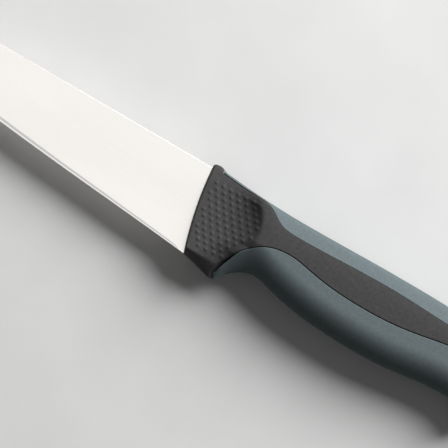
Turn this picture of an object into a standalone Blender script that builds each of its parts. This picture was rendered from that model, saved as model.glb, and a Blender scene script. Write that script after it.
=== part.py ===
"""Meat knife with a two-colour moulded handle, lying flat on its side.

The knife is drawn in millimetres in its own plan: X runs along the blade's back from the tip
(low X) to the butt (high X), Y rises towards the back, and Z is the thickness. Zero is on the
middle plane, just above where the blade's back meets the handle. The finished pieces are moved so
that the knife lies on Z = 0, with the origin under the middle of its outline.
"""
import math

import bmesh
import bpy
import numpy as np

MM = 0.001

# Blade
BLADE_LENGTH = 190.0        # tip to handle, along the back
HEEL_WIDTH = 34.1           # from zero down to the cutting edge, at the handle
EDGE_TAPER = 0.1035         # how fast the edge rises towards the tip, before its curve
EDGE_BELLY = 0.5            # how far the edge bulges midway between the heel and the curve
TIP_CURVE = 66.0            # length of the edge's curved stretch behind the tip
TIP_CURVE_POWER = 2.3
BACK_CURVE = 60.0           # length over which the back drops to the tip
BACK_STEP = 0.5             # depth of the blade's back at the handle; it rises to zero ahead of the tip
TIP_DROP = 3.0              # how far the tip lies below the line of the back
TIP_WIDTH = 0.8
BACK_THICKNESS = 2.0        # at the handle
TIP_THICKNESS = 1.1
BEVEL_WIDTH = 1.5           # ground band along the cutting edge
BEVEL_THICKNESS = 0.7       # where the ground band begins
EDGE_THICKNESS = 0.2

# Shoulder and tang, inside the handle
SHOULDER_LENGTH = 2.5
SHOULDER_TOP = 1.2          # below the back of the blade
SHOULDER_STEP = 2.6         # from the shoulder's lower corner down to the cutting edge
TANG_TOP = 7.0              # below the back of the blade
TANG_COVER = 5.7            # from the tang down to the underside of the waist
TANG_FROM_BUTT = 50.0
TANG_HOLE = 7.0
TANG_HOLE_PLACES = (42.0, 70.0)

# Front face of the handle: it leans and bows as it goes down to the heel
FACE_START = 0.45
FACE_LEAN = 0.07
FACE_BOW = 0.0038
HEEL_OVERHANG = 0.2         # how far the handle reaches below the cutting edge
COLLAR_RISE = 1.6           # height of the collar above the back of the blade

# Handle thickness
GRIP_THICKNESS = 22.0
CORE_AT_SCOOP = 5.0         # hard plastic left at the thumb rests, inside walls as thick as the soft ones
SCOOP_LENGTH = 7.2          # how quickly the scoop deepens from its rim
SCOOP_STRAIGHT = 0.8        # how far the deeper part runs straight across instead of following the rim
SCOOP_BLEND = 4.0
SCOOP_LEAN = 0.028          # the thumb rest gets this much deeper with each millimetre towards the back
RIM_X = 28.65               # rearmost point of the scoop's round rim
RIM_Y = -16.0
RIM_RADIUS = 18.5
RIM_LOW, RIM_HIGH = -24.5, -3.8
RIM_SOFTNESS = 0.65
RIM_EASE = 0.5              # the rim falls this much less steeply at its upper end
GUARD_OPENING = 0.9         # how fast the thumb rest opens out below, where it reaches the finger guard
FACET_ANGLE = 24.0          # slope of the strip's sides, towards the back
FACET_START, FACET_RUN = 3.9, 2.4       # the slope sets in behind the collar
CROWN_WIDTH, CROWN_CURVE = 4.0, 0.022   # the side turns gently down beside the strip
BACK_ROUND, BACK_SQUARENESS = 2.2, 5.0
GUARD_ROUND_RISE = 2.6      # the guard's rounding begins this far above the cutting edge at the heel
GUARD_SQUARENESS = 1.45
BELLY_ROUND, BELLY_SQUARENESS = 11.1, 1.85
WAIST_ROUND, WAIST_SQUARENESS = 11.6, 1.7
WAIST_BLEND = (27.0, 40.0)  # where the waist's rounding turns into the grip's
BUTT_ROUND, BUTT_SQUARENESS = 7.0, 2.4
CORNER_BLEND = (17.0, 2.0)  # from the butt: where the back's rounding turns into the butt's

# Places along the handle, and depths below the line of the blade's back
HANDLE_LENGTH = 138.0
COLLAR_END = 5.1
BOLSTER_END = 16.0          # on the back, across from the tip of the finger guard
GUARD_X = 22.0
GUARD_DROP = 3.1            # how far the tip of the finger guard lies below the cutting edge
WAIST_X, WAIST_DEPTH = 35.0, 28.2
BELLY_DEPTH = 34.0
NECK_FROM_BUTT, NECK_DEPTH = 19.0, 31.1
STRIP_FROM_BUTT = 11.0
HOOK_FROM_BUTT, HOOK_DEPTH = 4.4, 35.7
CORNER_FROM_BUTT, CORNER_DEPTH = 4.0, 8.4
BUTT_MIDDLE_DEPTH = 22.0

GUARD_DEPTH = HEEL_WIDTH + GUARD_DROP
NECK_X = HANDLE_LENGTH - NECK_FROM_BUTT
STRIP_END = HANDLE_LENGTH - STRIP_FROM_BUTT
HOOK_X = HANDLE_LENGTH - HOOK_FROM_BUTT
CORNER_X = HANDLE_LENGTH - CORNER_FROM_BUTT
MIDDLE_X = (WAIST_X + NECK_X) / 2
TANG_END = HANDLE_LENGTH - TANG_FROM_BUTT
TANG_WIDTH = WAIST_DEPTH - TANG_TOP - TANG_COVER
SHOULDER_BOTTOM = HEEL_WIDTH - SHOULDER_STEP

# Soft mouldings
SOFT_WALL = 2.5
CLEARANCE = 0.3
HEEL_BAND = 5.0             # rounded underside of the bolster, in plan
SCOOP_DEPTH = (GRIP_THICKNESS - CORE_AT_SCOOP) / 2 - SOFT_WALL      # each thumb rest, at its front

# Rows of the mesh along each stretch of the handle, and across it
STRETCH_ROWS = (3, 10, 18, 16, 6, 7)
BACK_STEPS = (0.0, 0.004, 0.03, 0.1, 0.25, 0.55, 1.0)
PANEL_STEPS = np.linspace(0.0, 1.0, 15)
BELLY_TURN = 0.72           # share of the belly grip's side that rounds over to its underside
BELLY_STEPS = np.append(BELLY_TURN * (1 - np.cos(np.radians(np.linspace(0, 90, 8)))), 1.0)
GUARD_STEPS = (0.0, 0.3, 0.5, 0.68, 0.82, 0.94, 0.99, 1.0)
RIB_STEPS = (0.0, 0.3, 0.5, 0.68, 0.84, 0.95, 1.0)
TIP_ROWS, BLADE_ROWS = 12, 9            # along the blade's curved stretch, and along the rest
TIP_CROWDING = 1.4          # the rows stand closer together towards the tip
BEVEL_MOST = 0.4            # most of the blade's width that the ground band takes near the tip
PIN_SIDES = 24
SHARP_ANGLE = 35.0          # edges bent further than this are shaded sharp
WELD = 1e-6
HALVINGS = 20               # steps in the search for where a wall has its full thickness
CURVE_SAMPLES = 40
CURVE_SLACK = 0.95          # longest pair of handles on a stretch of outline, as a share of its span
CUT_MARGIN = 2.0            # how far a cutting shape reaches past the surface it opens
STEP_BLEND = 0.9            # depth of the strip's step at which its side gap is whole
ROW_BOW = 2.5               # bends the rows forward between the strip and the finger guard's seam


class Outline:
    """A smooth plan line through knots: (x, y, heading in degrees, handle before, handle after)."""

    def __init__(self, knots):
        parts = []
        t = np.linspace(0, 1, CURVE_SAMPLES)[:, None]
        for (x0, y0, turn0, _, out0), (x1, y1, turn1, in1, _) in zip(knots[:-1], knots[1:]):
            start, end = np.array((x0, y0)), np.array((x1, y1))
            reach = min(1.0, CURVE_SLACK * np.linalg.norm(end - start) / max(out0 + in1, WELD))
            first = start + reach * out0 * heading(turn0)
            second = end - reach * in1 * heading(turn1)
            parts.append(
                (1 - t) ** 3 * start + 3 * t * (1 - t) ** 2 * first
                + 3 * t**2 * (1 - t) * second + t**3 * end
            )
        points = np.concatenate(parts)
        keep = np.append(True, np.linalg.norm(np.diff(points, axis=0), axis=1) > WELD)
        self.points = points[keep]
        steps = np.linalg.norm(np.diff(self.points, axis=0), axis=1)
        self.run = np.append(0.0, np.cumsum(steps))

    def run_at_x(self, x):
        """Distance along the line to its last crossing of x."""
        i = np.nonzero(self.points[:-1, 0] < x)[0][-1]
        share = (x - self.points[i, 0]) / (self.points[i + 1, 0] - self.points[i, 0])
        return self.run[i] + share * (self.run[i + 1] - self.run[i])

    def rows(self, marks, counts):
        """Points at equal steps within each stretch between marks, which are distances along the line."""
        places = [np.linspace(a, b, n, endpoint=False) for a, b, n in zip(marks[:-1], marks[1:], counts)]
        places = np.append(np.concatenate(places), marks[-1])
        return np.stack([np.interp(places, self.run, self.points[:, k]) for k in (0, 1)], axis=1)

    def distance(self, points):
        """Least distance from each plan point to the line."""
        start, span = self.points[:-1], np.diff(self.points, axis=0)
        offset = points[:, None, :] - start
        share = np.clip((offset * span).sum(2) / (span**2).sum(1), 0, 1)
        return np.linalg.norm(offset - share[..., None] * span, axis=2).min(axis=1)

    def y_at(self, x):
        return np.interp(x, self.points[:, 0], self.points[:, 1])


def heading(degrees):
    return np.array((math.cos(math.radians(degrees)), math.sin(math.radians(degrees))))


def face_x(y):
    """The handle's front face in plan."""
    return FACE_START + FACE_LEAN * np.abs(y) + FACE_BOW * y**2


HEEL_Y = -HEEL_WIDTH - HEEL_OVERHANG
BACK = Outline([
    (FACE_START, COLLAR_RISE - 1.1, 75, 0, 0.8),
    (2.9, COLLAR_RISE, 0, 1.3, 1.2),
    (5.6, 0.8, -24, 0.7, 1.0),
    (11.4, 0.05, -6, 2.2, 8.0),
    (42.0, -1.45, 0, 12.0, 12.0),
    (MIDDLE_X + 3.0, -1.03, 0, 12.0, 12.0),
    (NECK_X, -2.4, -7, 12.0, 5.0),
    (CORNER_X, -CORNER_DEPTH, -50, 4.5, 0),
])
STRIP_EDGE = Outline([
    (FACE_START, 0.25, -5, 0, 1.0),
    (COLLAR_END, 0.06, -9, 1.0, 4.0),
    (14.0, -0.88, -5, 3.0, 3.0),
    (22.5, -1.25, -4, 3.0, 4.6),
    (31.0, -4.4, -34, 3.4, 3.6),
    (42.0, -7.25, 0, 6.5, 12.0),
    (MIDDLE_X + 4.0, -6.3, 0, 13.0, 10.0),
    (NECK_X - 7.0, -7.3, 0, 8.0, 4.0),
    (NECK_X + 2.0, -5.2, 14, 3.5, 3.0),
    (STRIP_END, -5.2, -16, 2.0, 2.0),
    (CORNER_X, -CORNER_DEPTH, -50, 3.5, 0),
])
UNDERSIDE = Outline([
    (face_x(HEEL_Y), HEEL_Y, -9, 0, 4.0),
    (GUARD_X - 4.5, 0.4 - GUARD_DEPTH, -14, 3.0, 2.2),
    (GUARD_X - CLEARANCE, -GUARD_DEPTH, 8, 1.5, 0),
])
HEEL_LINE = Outline([
    (face_x(HEEL_Y + HEEL_BAND), HEEL_Y + HEEL_BAND, -9, 0, 5.0),
    (GUARD_X - CLEARANCE, -GUARD_DEPTH, -50, 4.0, 0),
])
BELLY_EDGE = Outline([
    (GUARD_X, -GUARD_DEPTH, 125, 0, 1.0),
    (GUARD_X - 0.9, 2.5 - GUARD_DEPTH, 80, 1.2, 2.5),
    (GUARD_X + 2.95, -23.7, 68, 4.5, 1.6),
    (29.2, -19.1, 40, 2.6, 5.0),
    (42.8, -14.7, 0, 6.0, 7.0),
    (MIDDLE_X, -18.25, 0, 21.5, 21.0),
    (NECK_X - 4.0, -14.0, 0, 8.5, 8.0),
    (HOOK_X - 2.0, -27.0, -74, 6.5, 3.6),
    (HOOK_X, -HOOK_DEPTH, -70, 3.0, 0),
])
UNDER_EDGE = Outline([
    (GUARD_X, -GUARD_DEPTH, 30, 0, 0.8),
    (GUARD_X + 2.6, 3.6 - GUARD_DEPTH, 60, 1.6, 2.0),
    (WAIST_X, -WAIST_DEPTH, 0, 4.5, 6.0),
    (MIDDLE_X + 5.0, -BELLY_DEPTH, 0, 34.0, 20.0),
    (NECK_X + 2.0, -NECK_DEPTH, 0, 17.0, 4.5),
    (HOOK_X, -HOOK_DEPTH, -22, 5.0, 0),
])
BUTT_EDGE = Outline([
    (CORNER_X, -CORNER_DEPTH, -50, 0, 4.5),
    (HANDLE_LENGTH, -BUTT_MIDDLE_DEPTH, -90, 7.0, 7.0),
    (HOOK_X + CLEARANCE, -HOOK_DEPTH, 190, 4.5, 0),
])


def rounding(distance, radius, squareness):
    """Share of the full thickness at a distance in from an edge that is rounded over radius."""
    inside = np.clip(1 - distance / np.maximum(radius, WELD), 0, 1)
    return (1 - inside**squareness) ** (1 / squareness)


def smooth(share):
    """A share kept between 0 and 1, and rounded off at both ends."""
    share = np.clip(share, 0, 1)
    return share**2 * (3 - 2 * share)


def blended(first, second, share):
    return first + share * (second - first)


def rim_ahead(points):
    """How far a point lies inside the thumb rest's rim: square to it near by, along the knife further in."""
    x, y = points.T
    reach = np.sqrt(RIM_RADIUS**2 - (np.clip(y, RIM_LOW, RIM_HIGH) - RIM_Y) ** 2)
    open_end = GUARD_OPENING * np.clip(RIM_LOW - y, 0, None)
    ahead = RIM_X - RIM_RADIUS + reach - x + open_end
    square = reach / RIM_RADIUS
    ahead = ahead * (1 - (1 - square) * np.exp(-np.clip(ahead, 0, None) / SCOOP_BLEND))
    upper = np.clip((y - RIM_Y) / (RIM_HIGH - RIM_Y), 0, 1)
    ahead = ahead * (1 - RIM_EASE * upper**2 * np.exp(-np.clip(ahead, 0, None) / SCOOP_LENGTH))
    guard_side = BELLY_EDGE.points[BELLY_EDGE.points[:, 0] < WAIST_X]
    from_seam = np.interp(y, guard_side[:, 1], guard_side[:, 0]) - x
    return np.minimum(ahead, np.where(from_seam > 0, from_seam + open_end, from_seam))


def scoop(points):
    """Depth of the thumb rest: deepest at the front, with a round rim behind."""
    ahead = rim_ahead(points)
    blend = np.clip(ahead + RIM_SOFTNESS, 0, 2 * RIM_SOFTNESS) ** 2 / (4 * RIM_SOFTNESS)
    ahead = np.where(ahead < RIM_SOFTNESS, blend, ahead)
    straight = RIM_X - points[:, 0] - ahead
    ahead = ahead + SCOOP_STRAIGHT * straight * (1 - np.exp(-ahead / SCOOP_BLEND))
    share = 1 - np.exp(-ahead / SCOOP_LENGTH)
    return SCOOP_DEPTH * share * (1 + SCOOP_LEAN * (points[:, 1] - RIM_Y) * share**4)


def half_thickness(points, inset=0.0):
    """Height of the handle's side above its middle plane, with every face moved in by inset."""
    x, y = points.T
    side = GRIP_THICKNESS / 2 - inset - scoop(points)
    facet = np.clip((x - FACET_START) / FACET_RUN, 0, 1) * math.tan(math.radians(FACET_ANGLE))
    above = y - STRIP_EDGE.y_at(x)
    side = side - np.clip(above, 0, None) * facet
    side = side - CROWN_CURVE / 2 * np.clip(above + CROWN_WIDTH, 0, CROWN_WIDTH) ** 2
    grip = smooth((x - WAIST_BLEND[0]) / (WAIST_BLEND[1] - WAIST_BLEND[0]))
    butt = smooth((x - HANDLE_LENGTH + CORNER_BLEND[0]) / (CORNER_BLEND[0] - CORNER_BLEND[1]))
    for distance, radius, squareness in (
        (
            np.minimum(BACK.distance(points), BUTT_EDGE.distance(points)),
            blended(BACK_ROUND, BUTT_ROUND, butt),
            blended(BACK_SQUARENESS, BUTT_SQUARENESS, butt),
        ),
        (
            UNDERSIDE.distance(points),
            GUARD_ROUND_RISE - HEEL_WIDTH - UNDERSIDE.y_at(x),
            GUARD_SQUARENESS,
        ),
        (
            UNDER_EDGE.distance(points),
            blended(WAIST_ROUND, BELLY_ROUND, grip),
            blended(WAIST_SQUARENESS, BELLY_SQUARENESS, grip),
        ),
    ):
        side = side * rounding(distance - inset, radius - inset, squareness)
    return side


def shifted(line, distance):
    """A row of plan points moved to its left by distance."""
    along = np.gradient(line, axis=0)
    along /= np.linalg.norm(along, axis=1)[:, None]
    return line + distance * np.stack((-along[:, 1], along[:, 0]), axis=1)


def between(first, second, steps):
    """Plan points between two rows of points, at the given shares of the way."""
    steps = np.asarray(steps)[None, :, None]
    return first[:, None, :] * (1 - steps) + second[:, None, :] * steps


def raised(plan, inset=0.0):
    """Plan points with the handle's half thickness as their height."""
    height = half_thickness(plan.reshape(-1, 2), inset).reshape(plan.shape[:2])
    return np.concatenate((plan, height[..., None]), axis=2)


def at_height(plan, height):
    return np.concatenate((plan, np.broadcast_to(height, plan.shape[:-1])[..., None]), axis=-1)


def station_rows():
    """Matching rows of points on the handle's long lines, from its front face to the butt."""
    def marks(line, places, end):
        return [0.0] + [line.run_at_x(x) for x in places] + [end]

    along = (COLLAR_END, BOLSTER_END, WAIST_X, NECK_X, STRIP_END)
    back = BACK.rows(marks(BACK, along, BACK.run[-1]), STRETCH_ROWS)
    strip = STRIP_EDGE.rows(marks(STRIP_EDGE, along, STRIP_EDGE.run[-1]), STRETCH_ROWS)

    collar_share = (COLLAR_END - FACE_START) / (BOLSTER_END - FACE_START)

    def front(line):
        return line.rows([0.0, collar_share * line.run[-1], line.run[-1]], STRETCH_ROWS[:2])

    def rear(line):
        neck, end = line.run_at_x(min(NECK_X, line.points[:, 0].max())), line.run[-1]
        tail_share = (STRIP_END - NECK_X) / (CORNER_X - NECK_X)
        places = [0.0, line.run_at_x(WAIST_X), neck, neck + tail_share * (end - neck), end]
        return line.rows(places, STRETCH_ROWS[2:])

    return back, strip, front(UNDERSIDE), front(HEEL_LINE), rear(BELLY_EDGE), rear(UNDER_EDGE)


def strip_inner(back, strip, wall, gap=0.0):
    """The three inner corners of the strip's section: by its edge, at its floor, on the middle plane.

    The core's groove takes the same corners with a gap, and with its own wall beside the strip's edge.
    """
    floor = back - np.array((0.0, SOFT_WALL))
    lip = strip[:, 1] - floor[:, 1]
    height = half_thickness(strip) - SOFT_WALL + gap * np.clip(lip / STEP_BLEND, -1, 1)
    fall = np.clip(-lip, 0, None) * math.tan(math.radians(FACET_ANGLE))
    floor[:, 1] -= gap
    return np.stack((at_height(wall, height), at_height(floor, height - fall), at_height(floor, 0.0)), axis=1)


def belly_inner(belly, under, inset):
    """The inner face of the belly grip's section, from its edge round to the middle plane."""
    least, most = np.zeros(len(belly)), np.ones(len(belly))
    for _ in range(HALVINGS):
        reach = (least + most) / 2
        clear = UNDER_EDGE.distance(belly + (under - belly) * reach[:, None]) > inset
        least, most = np.where(clear, reach, least), np.where(clear, most, reach)
    lowest = belly + (under - belly) * least[:, None]
    inner = raised(between(belly, lowest, RIB_STEPS), inset)
    inner[:, -1, 2] = 0.0
    return inner


def core_rows():
    """Half sections of the hard core, each from the middle of its back to the middle of its belly."""
    back, strip, underside, heel, belly, under = station_rows()
    collar, bolster = STRETCH_ROWS[0], sum(STRETCH_ROWS[:2])
    strip_last = sum(STRETCH_ROWS[:5])

    strip_wall = shifted(strip, -CLEARANCE)
    groove_rows = slice(collar, strip_last + 1)
    strip_side = strip.copy()
    strip_side[groove_rows] = strip_wall[groove_rows]
    belly_wall = shifted(belly, CLEARANCE)
    belly_wall[0] = UNDERSIDE.points[-1]
    belly_wall[-1] = BUTT_EDGE.points[-1]
    lower = np.concatenate((heel, belly_wall[1:]))

    panel = between(strip_side, lower, PANEL_STEPS)
    face_chord = panel[0, :, 0]
    face_bow = face_x(panel[0, :, 1]) - face_chord
    rows = np.arange(len(panel))
    front_pull = np.clip(1 - rows / bolster, 0, 1) ** 2
    panel[:, :, 0] += front_pull[:, None] * face_bow
    guard_pull = smooth(1 - np.abs(rows - bolster) / bolster)
    panel[:, :, 0] -= ROW_BOW * guard_pull[:, None] * 4 * PANEL_STEPS * (1 - PANEL_STEPS)
    butt_bow = BUTT_EDGE.rows([0, BUTT_EDGE.run[-1]], [len(PANEL_STEPS) - 1]) - panel[-1]
    rear_pull = np.clip((rows - strip_last) / (rows[-1] - strip_last), 0, 1) ** 2
    panel += rear_pull[:, None, None] * butt_bow
    panel = raised(panel)
    panel[-1, :, 2] = 0.0

    outer_back = raised(between(back, strip_side, BACK_STEPS[::2]))[:, :-1]
    outer_back[:, 0, 2] = 0.0
    groove = strip_inner(back, strip, strip_side, CLEARANCE)[:, ::-1]
    chin = raised(between(heel, underside, GUARD_STEPS))[:, 1:]
    chin[:, -1, 2] = 0.0
    rib = belly_inner(belly_wall, under, SOFT_WALL + CLEARANCE)

    order = [(i, outer_back) for i in range(collar + 1)]
    order += [(i, groove) for i in range(collar, strip_last + 1)]
    order += [(i, outer_back) for i in range(strip_last, len(rows))]
    return np.array([
        np.concatenate((top[i], panel[i], chin[i] if i <= bolster else rib[i - bolster]))
        for i, top in order
    ])


def belly_rows():
    """Half sections of the belly grip: round its outside from the bottom, and back inside."""
    belly, under = station_rows()[4:]
    outer = raised(between(under, belly, BELLY_STEPS))
    outer[:, 0, 2] = 0.0
    return np.concatenate((outer, belly_inner(belly, under, SOFT_WALL)), axis=1)


def strip_rows():
    """Half sections of the back strip: over its outside from the middle, and back inside."""
    def row(line):
        marks = (COLLAR_END + CLEARANCE, BOLSTER_END, WAIST_X, NECK_X, STRIP_END - CLEARANCE)
        return line.rows([line.run_at_x(x) for x in marks], STRETCH_ROWS[1:5])

    back, strip = row(BACK), row(STRIP_EDGE)
    outer = raised(between(back, strip, BACK_STEPS))
    outer[:, 0, 2] = 0.0
    return np.concatenate((outer, strip_inner(back, strip, strip)), axis=1)


def back_y(x):
    """Back of the blade: it rises slightly away from the handle, then drops to the tip."""
    low = np.clip(1 + x / (BLADE_LENGTH - BACK_CURVE), 0, 1)
    drop = np.clip((BACK_CURVE - BLADE_LENGTH - x) / BACK_CURVE, 0, 1)
    return -BACK_STEP * low - TIP_DROP * drop**2


def edge_y(x):
    """Cutting edge: a taper with a slight belly, then a curve up to the tip."""
    heel_x = face_x(HEEL_WIDTH)
    straight_at_tip = -HEEL_WIDTH + EDGE_TAPER * (heel_x + BLADE_LENGTH)
    curve = np.clip((TIP_CURVE - BLADE_LENGTH - x) / TIP_CURVE, 0, 1) ** TIP_CURVE_POWER
    rise = -TIP_DROP - TIP_WIDTH - straight_at_tip
    belly = np.sin(np.pi * np.clip(x / (TIP_CURVE - BLADE_LENGTH), 0, 1)) ** 2
    return -HEEL_WIDTH + EDGE_TAPER * (heel_x - x) - EDGE_BELLY * belly + rise * curve


def blade_rows():
    """Upper half of the ground blade, from the tip to the handle, with a column on each shoulder line."""
    flat = HEEL_WIDTH - BEVEL_WIDTH
    depths = np.array((0.0, SHOULDER_TOP, TANG_TOP, TANG_TOP + TANG_WIDTH, SHOULDER_BOTTOM, flat, HEEL_WIDTH))
    ends = face_x(depths) - CLEARANCE
    tip_share = TIP_CURVE / BLADE_LENGTH
    shares = np.append(
        tip_share * np.linspace(0, 1, TIP_ROWS, endpoint=False) ** TIP_CROWDING,
        np.linspace(tip_share, 1, BLADE_ROWS),
    )
    x = -BLADE_LENGTH + shares[:, None] * (ends + BLADE_LENGTH)
    back, edge = back_y(x), edge_y(x)
    bevel = edge + np.minimum(BEVEL_WIDTH, BEVEL_MOST * (back - edge))
    down = np.clip(depths / flat, 0, 1)
    y = back + down * (bevel - back)
    y[:, -1] = edge[:, -1]
    back_thickness = TIP_THICKNESS + shares[:, None] * (BACK_THICKNESS - TIP_THICKNESS)
    thickness = back_thickness + down * (BEVEL_THICKNESS - back_thickness)
    thickness[:, -1] = EDGE_THICKNESS
    return np.stack((x, y, thickness / 2), axis=2)


def tang_rows(front, grow=0.0):
    """Upper halves of the shoulder and the tang, behind a row of front points on the shoulder's lines."""
    height = BACK_THICKNESS / 2 + grow
    y = front[:, 1]
    shoulder = np.stack((face_x(y) + SHOULDER_LENGTH + grow, y, np.full(len(y), height)), axis=1)
    tang = shoulder[1:3].copy()
    tang[:, 0] = TANG_END + grow
    return np.array((front, shoulder)), np.array((shoulder[1:3], tang))


def pocket_rows():
    """Upper halves of the pocket for the shoulder and the tang, which opens through the front face."""
    front = blade_rows()[-1, 1:5]
    front[:, 1] += CLEARANCE * np.array((1, 1, -1, -1))
    front[:, 0] = face_x(front[:, 1]) - CUT_MARGIN
    front[:, 2] += CLEARANCE
    return tang_rows(front, CLEARANCE)


def solid(name, grids, material, parent, capped=False):
    """A closed solid from the upper halves of its surface, mirrored in the middle plane."""
    mesh = bmesh.new()
    for grid in grids:
        rows = [[mesh.verts.new(point) for point in row] for row in (grid * MM).tolist()]
        for near, far in zip(rows[:-1], rows[1:]):
            for a, b, c, d in zip(near, near[1:], far[1:], far):
                if (a.co - c.co).length > (b.co - d.co).length:
                    a, b, c, d = b, c, d, a
                mesh.faces.new((a, b, c))
                mesh.faces.new((a, c, d))
        if capped:
            mesh.faces.new(rows[0])
            mesh.faces.new(rows[-1])
    bmesh.ops.remove_doubles(mesh, verts=mesh.verts, dist=WELD)
    level = [face for face in mesh.faces if all(vert.co.z < WELD for vert in face.verts)]
    bmesh.ops.delete(mesh, geom=level, context="FACES")
    border = [edge for edge in mesh.edges if edge.is_boundary]
    mirror = {vert: mesh.verts.new((vert.co.x, vert.co.y, -vert.co.z)) for vert in mesh.verts[:]}
    for face in mesh.faces[:]:
        mesh.faces.new([mirror[vert] for vert in reversed(face.verts)])
    for edge in border:
        a, b = edge.verts
        if max(a.co.z, b.co.z) > WELD:
            mesh.faces.new((a, b, mirror[b], mirror[a]))
    bmesh.ops.remove_doubles(mesh, verts=mesh.verts, dist=WELD)
    bmesh.ops.dissolve_degenerate(mesh, edges=mesh.edges, dist=WELD)
    bmesh.ops.recalc_face_normals(mesh, faces=mesh.faces)
    return placed(name, mesh, material, parent)


def pins(name, radius, height, parent):
    """Upright cylinders at the tang's holes, as a guide for cutting."""
    mesh = bmesh.new()
    for x in TANG_HOLE_PLACES:
        made = bmesh.ops.create_cone(
            mesh, cap_ends=True, segments=PIN_SIDES, radius1=radius * MM, radius2=radius * MM,
            depth=2 * height * MM,
        )
        centre = (x * MM, -(TANG_TOP + TANG_WIDTH / 2) * MM, 0)
        bmesh.ops.translate(mesh, verts=made["verts"], vec=centre)
    return guide(placed(name, mesh, None, parent))


def placed(name, mesh, material, parent):
    """Turns a bmesh into a named object in the knife's plan."""
    data = bpy.data.meshes.new(name)
    mesh.to_mesh(data)
    mesh.free()
    item = bpy.data.objects.new(name, data)
    bpy.context.collection.objects.link(item)
    item.parent = parent
    if material:
        data.materials.append(material)
        data.shade_smooth()
        data.set_sharp_from_angle(angle=math.radians(SHARP_ANGLE))
    return item


def guide(item):
    item.hide_render = True
    item.display_type = "WIRE"
    return item


def cut(item, cutter):
    change = item.modifiers.new("cut", "BOOLEAN")
    change.operation = "DIFFERENCE"
    change.solver = "EXACT"
    change.object = cutter


def finish(name, colour, roughness, metallic=0.0):
    """A plain material. Colours are linear."""
    material = bpy.data.materials.new(name)
    material.use_nodes = True
    shader = material.node_tree.nodes["Principled BSDF"]
    shader.inputs["Base Color"].default_value = (*colour, 1.0)
    shader.inputs["Roughness"].default_value = roughness
    shader.inputs["Metallic"].default_value = metallic
    return material


def build():
    for item in list(bpy.data.objects):
        bpy.data.objects.remove(item)
    steel = finish("stainless_steel", (0.80, 0.79, 0.77), 0.25, 1.0)
    plastic = finish("black_plastic", (0.070, 0.067, 0.068), 0.55)
    rubber = finish("soft_grip", (0.148, 0.173, 0.182), 0.65)
    knife = bpy.data.objects.new("knife", None)
    bpy.context.collection.objects.link(knife)

    ground = blade_rows()
    shoulder, tang = tang_rows(ground[-1, 1:5])
    blade = solid("blade", [ground, shoulder, tang], steel, knife)
    cut(blade, pins("tang_holes", TANG_HOLE / 2, BACK_THICKNESS, knife))

    core = solid("handle_core", [core_rows()], plastic, knife)
    pocket = guide(solid("tang_pocket", pocket_rows(), None, knife))
    cut(pocket, pins("stud_shape", TANG_HOLE / 2 - CLEARANCE, 2 * BACK_THICKNESS, knife))
    cut(core, pocket)

    belly = solid("belly_grip", [belly_rows()], rubber, knife)
    strip = solid("back_strip", [strip_rows()], rubber, knife, capped=True)

    corners = np.concatenate([
        [vert.co for vert in item.data.vertices] for item in (blade, core, belly, strip)
    ])
    low, high = corners.min(axis=0), corners.max(axis=0)
    knife.location = (-(low[0] + high[0]) / 2, -(low[1] + high[1]) / 2, -low[2])


build()
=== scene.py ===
"""The looks of the meat knife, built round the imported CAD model.

The knife is drawn in millimetres in its own plan, as the CAD model is: X runs along the blade's back
from the tip (low X) to the butt (high X), Y rises towards the back, and Z is the thickness. Zero is
on the middle plane, just above where the blade's back meets the handle. Each piece is made from the
upper half of its surface, mirrored in the middle plane, and then moved to the place of its CAD node.
"""
import math

import bmesh
import bpy
import numpy as np
from mathutils import Matrix, Vector

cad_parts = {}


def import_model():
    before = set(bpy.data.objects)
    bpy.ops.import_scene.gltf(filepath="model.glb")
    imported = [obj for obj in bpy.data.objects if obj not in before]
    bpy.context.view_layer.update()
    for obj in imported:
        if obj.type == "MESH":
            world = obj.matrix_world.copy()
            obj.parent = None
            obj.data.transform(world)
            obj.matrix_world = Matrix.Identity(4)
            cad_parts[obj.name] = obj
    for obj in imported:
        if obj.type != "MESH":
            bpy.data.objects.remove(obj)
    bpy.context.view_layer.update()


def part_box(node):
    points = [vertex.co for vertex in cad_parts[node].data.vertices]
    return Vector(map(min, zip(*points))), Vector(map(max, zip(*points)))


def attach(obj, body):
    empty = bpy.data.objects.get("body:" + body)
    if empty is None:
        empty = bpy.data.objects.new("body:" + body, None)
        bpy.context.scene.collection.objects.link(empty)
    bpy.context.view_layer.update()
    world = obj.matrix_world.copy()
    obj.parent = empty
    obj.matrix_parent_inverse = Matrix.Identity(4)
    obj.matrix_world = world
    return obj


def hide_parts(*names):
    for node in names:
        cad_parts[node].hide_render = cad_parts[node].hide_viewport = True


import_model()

MM = 0.001

# Blade
BLADE_LENGTH = 190.0
HEEL_WIDTH = 34.1
EDGE_TAPER = 0.1035
EDGE_BELLY = 0.5
TIP_CURVE = 66.0
TIP_CURVE_POWER = 2.3
BACK_CURVE = 60.0
BACK_STEP = 0.5
TIP_DROP = 3.0
TIP_WIDTH = 0.8
BACK_THICKNESS = 2.0
TIP_THICKNESS = 1.1
BACK_CHAMFER = 0.08         # softened corner along the back of the blade
BEVEL_WIDTH = 0.9           # at the heel, growing with each millimetre towards the tip
BEVEL_GROWTH, BEVEL_WIDEST = 0.0088, 1.7
BEVEL_THICKNESS = 0.7
EDGE_THICKNESS = 0.2
BEVEL_MOST = 0.4            # most of the blade's width that the ground band takes near the tip
BEVEL_LEAST = 0.02          # a band narrower than this has no sharpened edge
BEVEL_FADE_START = 0.0      # the ground band narrows from here and ends short of the handle
BEVEL_FADE_END = 4.6
BLADE_REACH = 2.2           # how far the visible blade goes into its slot

# Front face of the handle
FACE_START = 0.45
FACE_LEAN = 0.07
FACE_BOW = 0.0038
FACE_ROUND, FACE_DROP = 0.95, 1.9       # rounded corner of the face: how far back, and how far down
HEEL_OVERHANG = 0.2
SLOT_DEPTH = 2.6
SLOT_GAP = 0.25

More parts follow.
